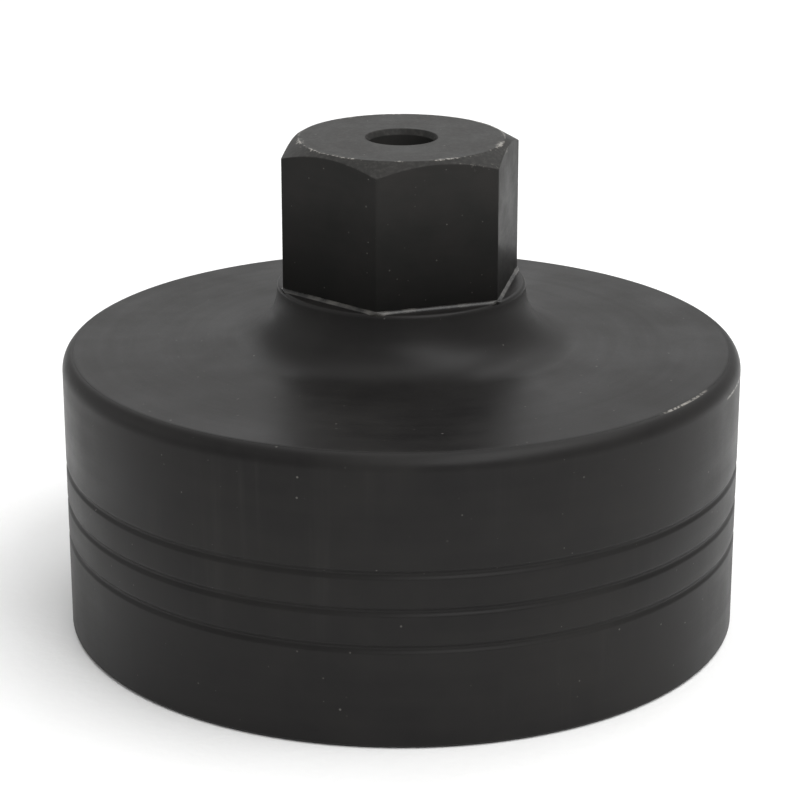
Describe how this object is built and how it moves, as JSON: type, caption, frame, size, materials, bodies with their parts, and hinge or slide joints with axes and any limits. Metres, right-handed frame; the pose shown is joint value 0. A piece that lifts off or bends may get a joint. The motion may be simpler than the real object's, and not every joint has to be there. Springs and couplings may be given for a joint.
{
  "type": "oil filter wrench",
  "caption": "Cup-type oil filter wrench: a grooved steel skirt with gripping flats inside, and a bored hexagonal drive head on a round neck.",
  "frame": {"origin": "centre of the open mouth's rim, on the tool's axis", "axes": "+Z along the tool's axis from the mouth to the drive head, +X through a corner of the hexagon, +Y out of a flat of the hexagon"},
  "size_m": [0.1142, 0.1142, 0.0835],
  "materials": {
    "head_steel": "milled steel with a satin black oxide finish",
    "bead_steel": "dressed bead with the black oxide worn thin",
    "cup_steel": "turned steel with a satin black oxide finish",
    "ring_steel": "broached steel with a thin black oxide finish",
    "weld_steel": "weld metal blackened with the cup"
  },
  "bodies": {
    "root": {"drive_head": "head_steel", "foot_bead": "bead_steel", "crown": "cup_steel", "skirt": "cup_steel", "grip_ring": "ring_steel", "head_weld": "weld_steel", "crown_weld": "weld_steel", "ring_welds": "weld_steel"}
  },
  "joints": []
}
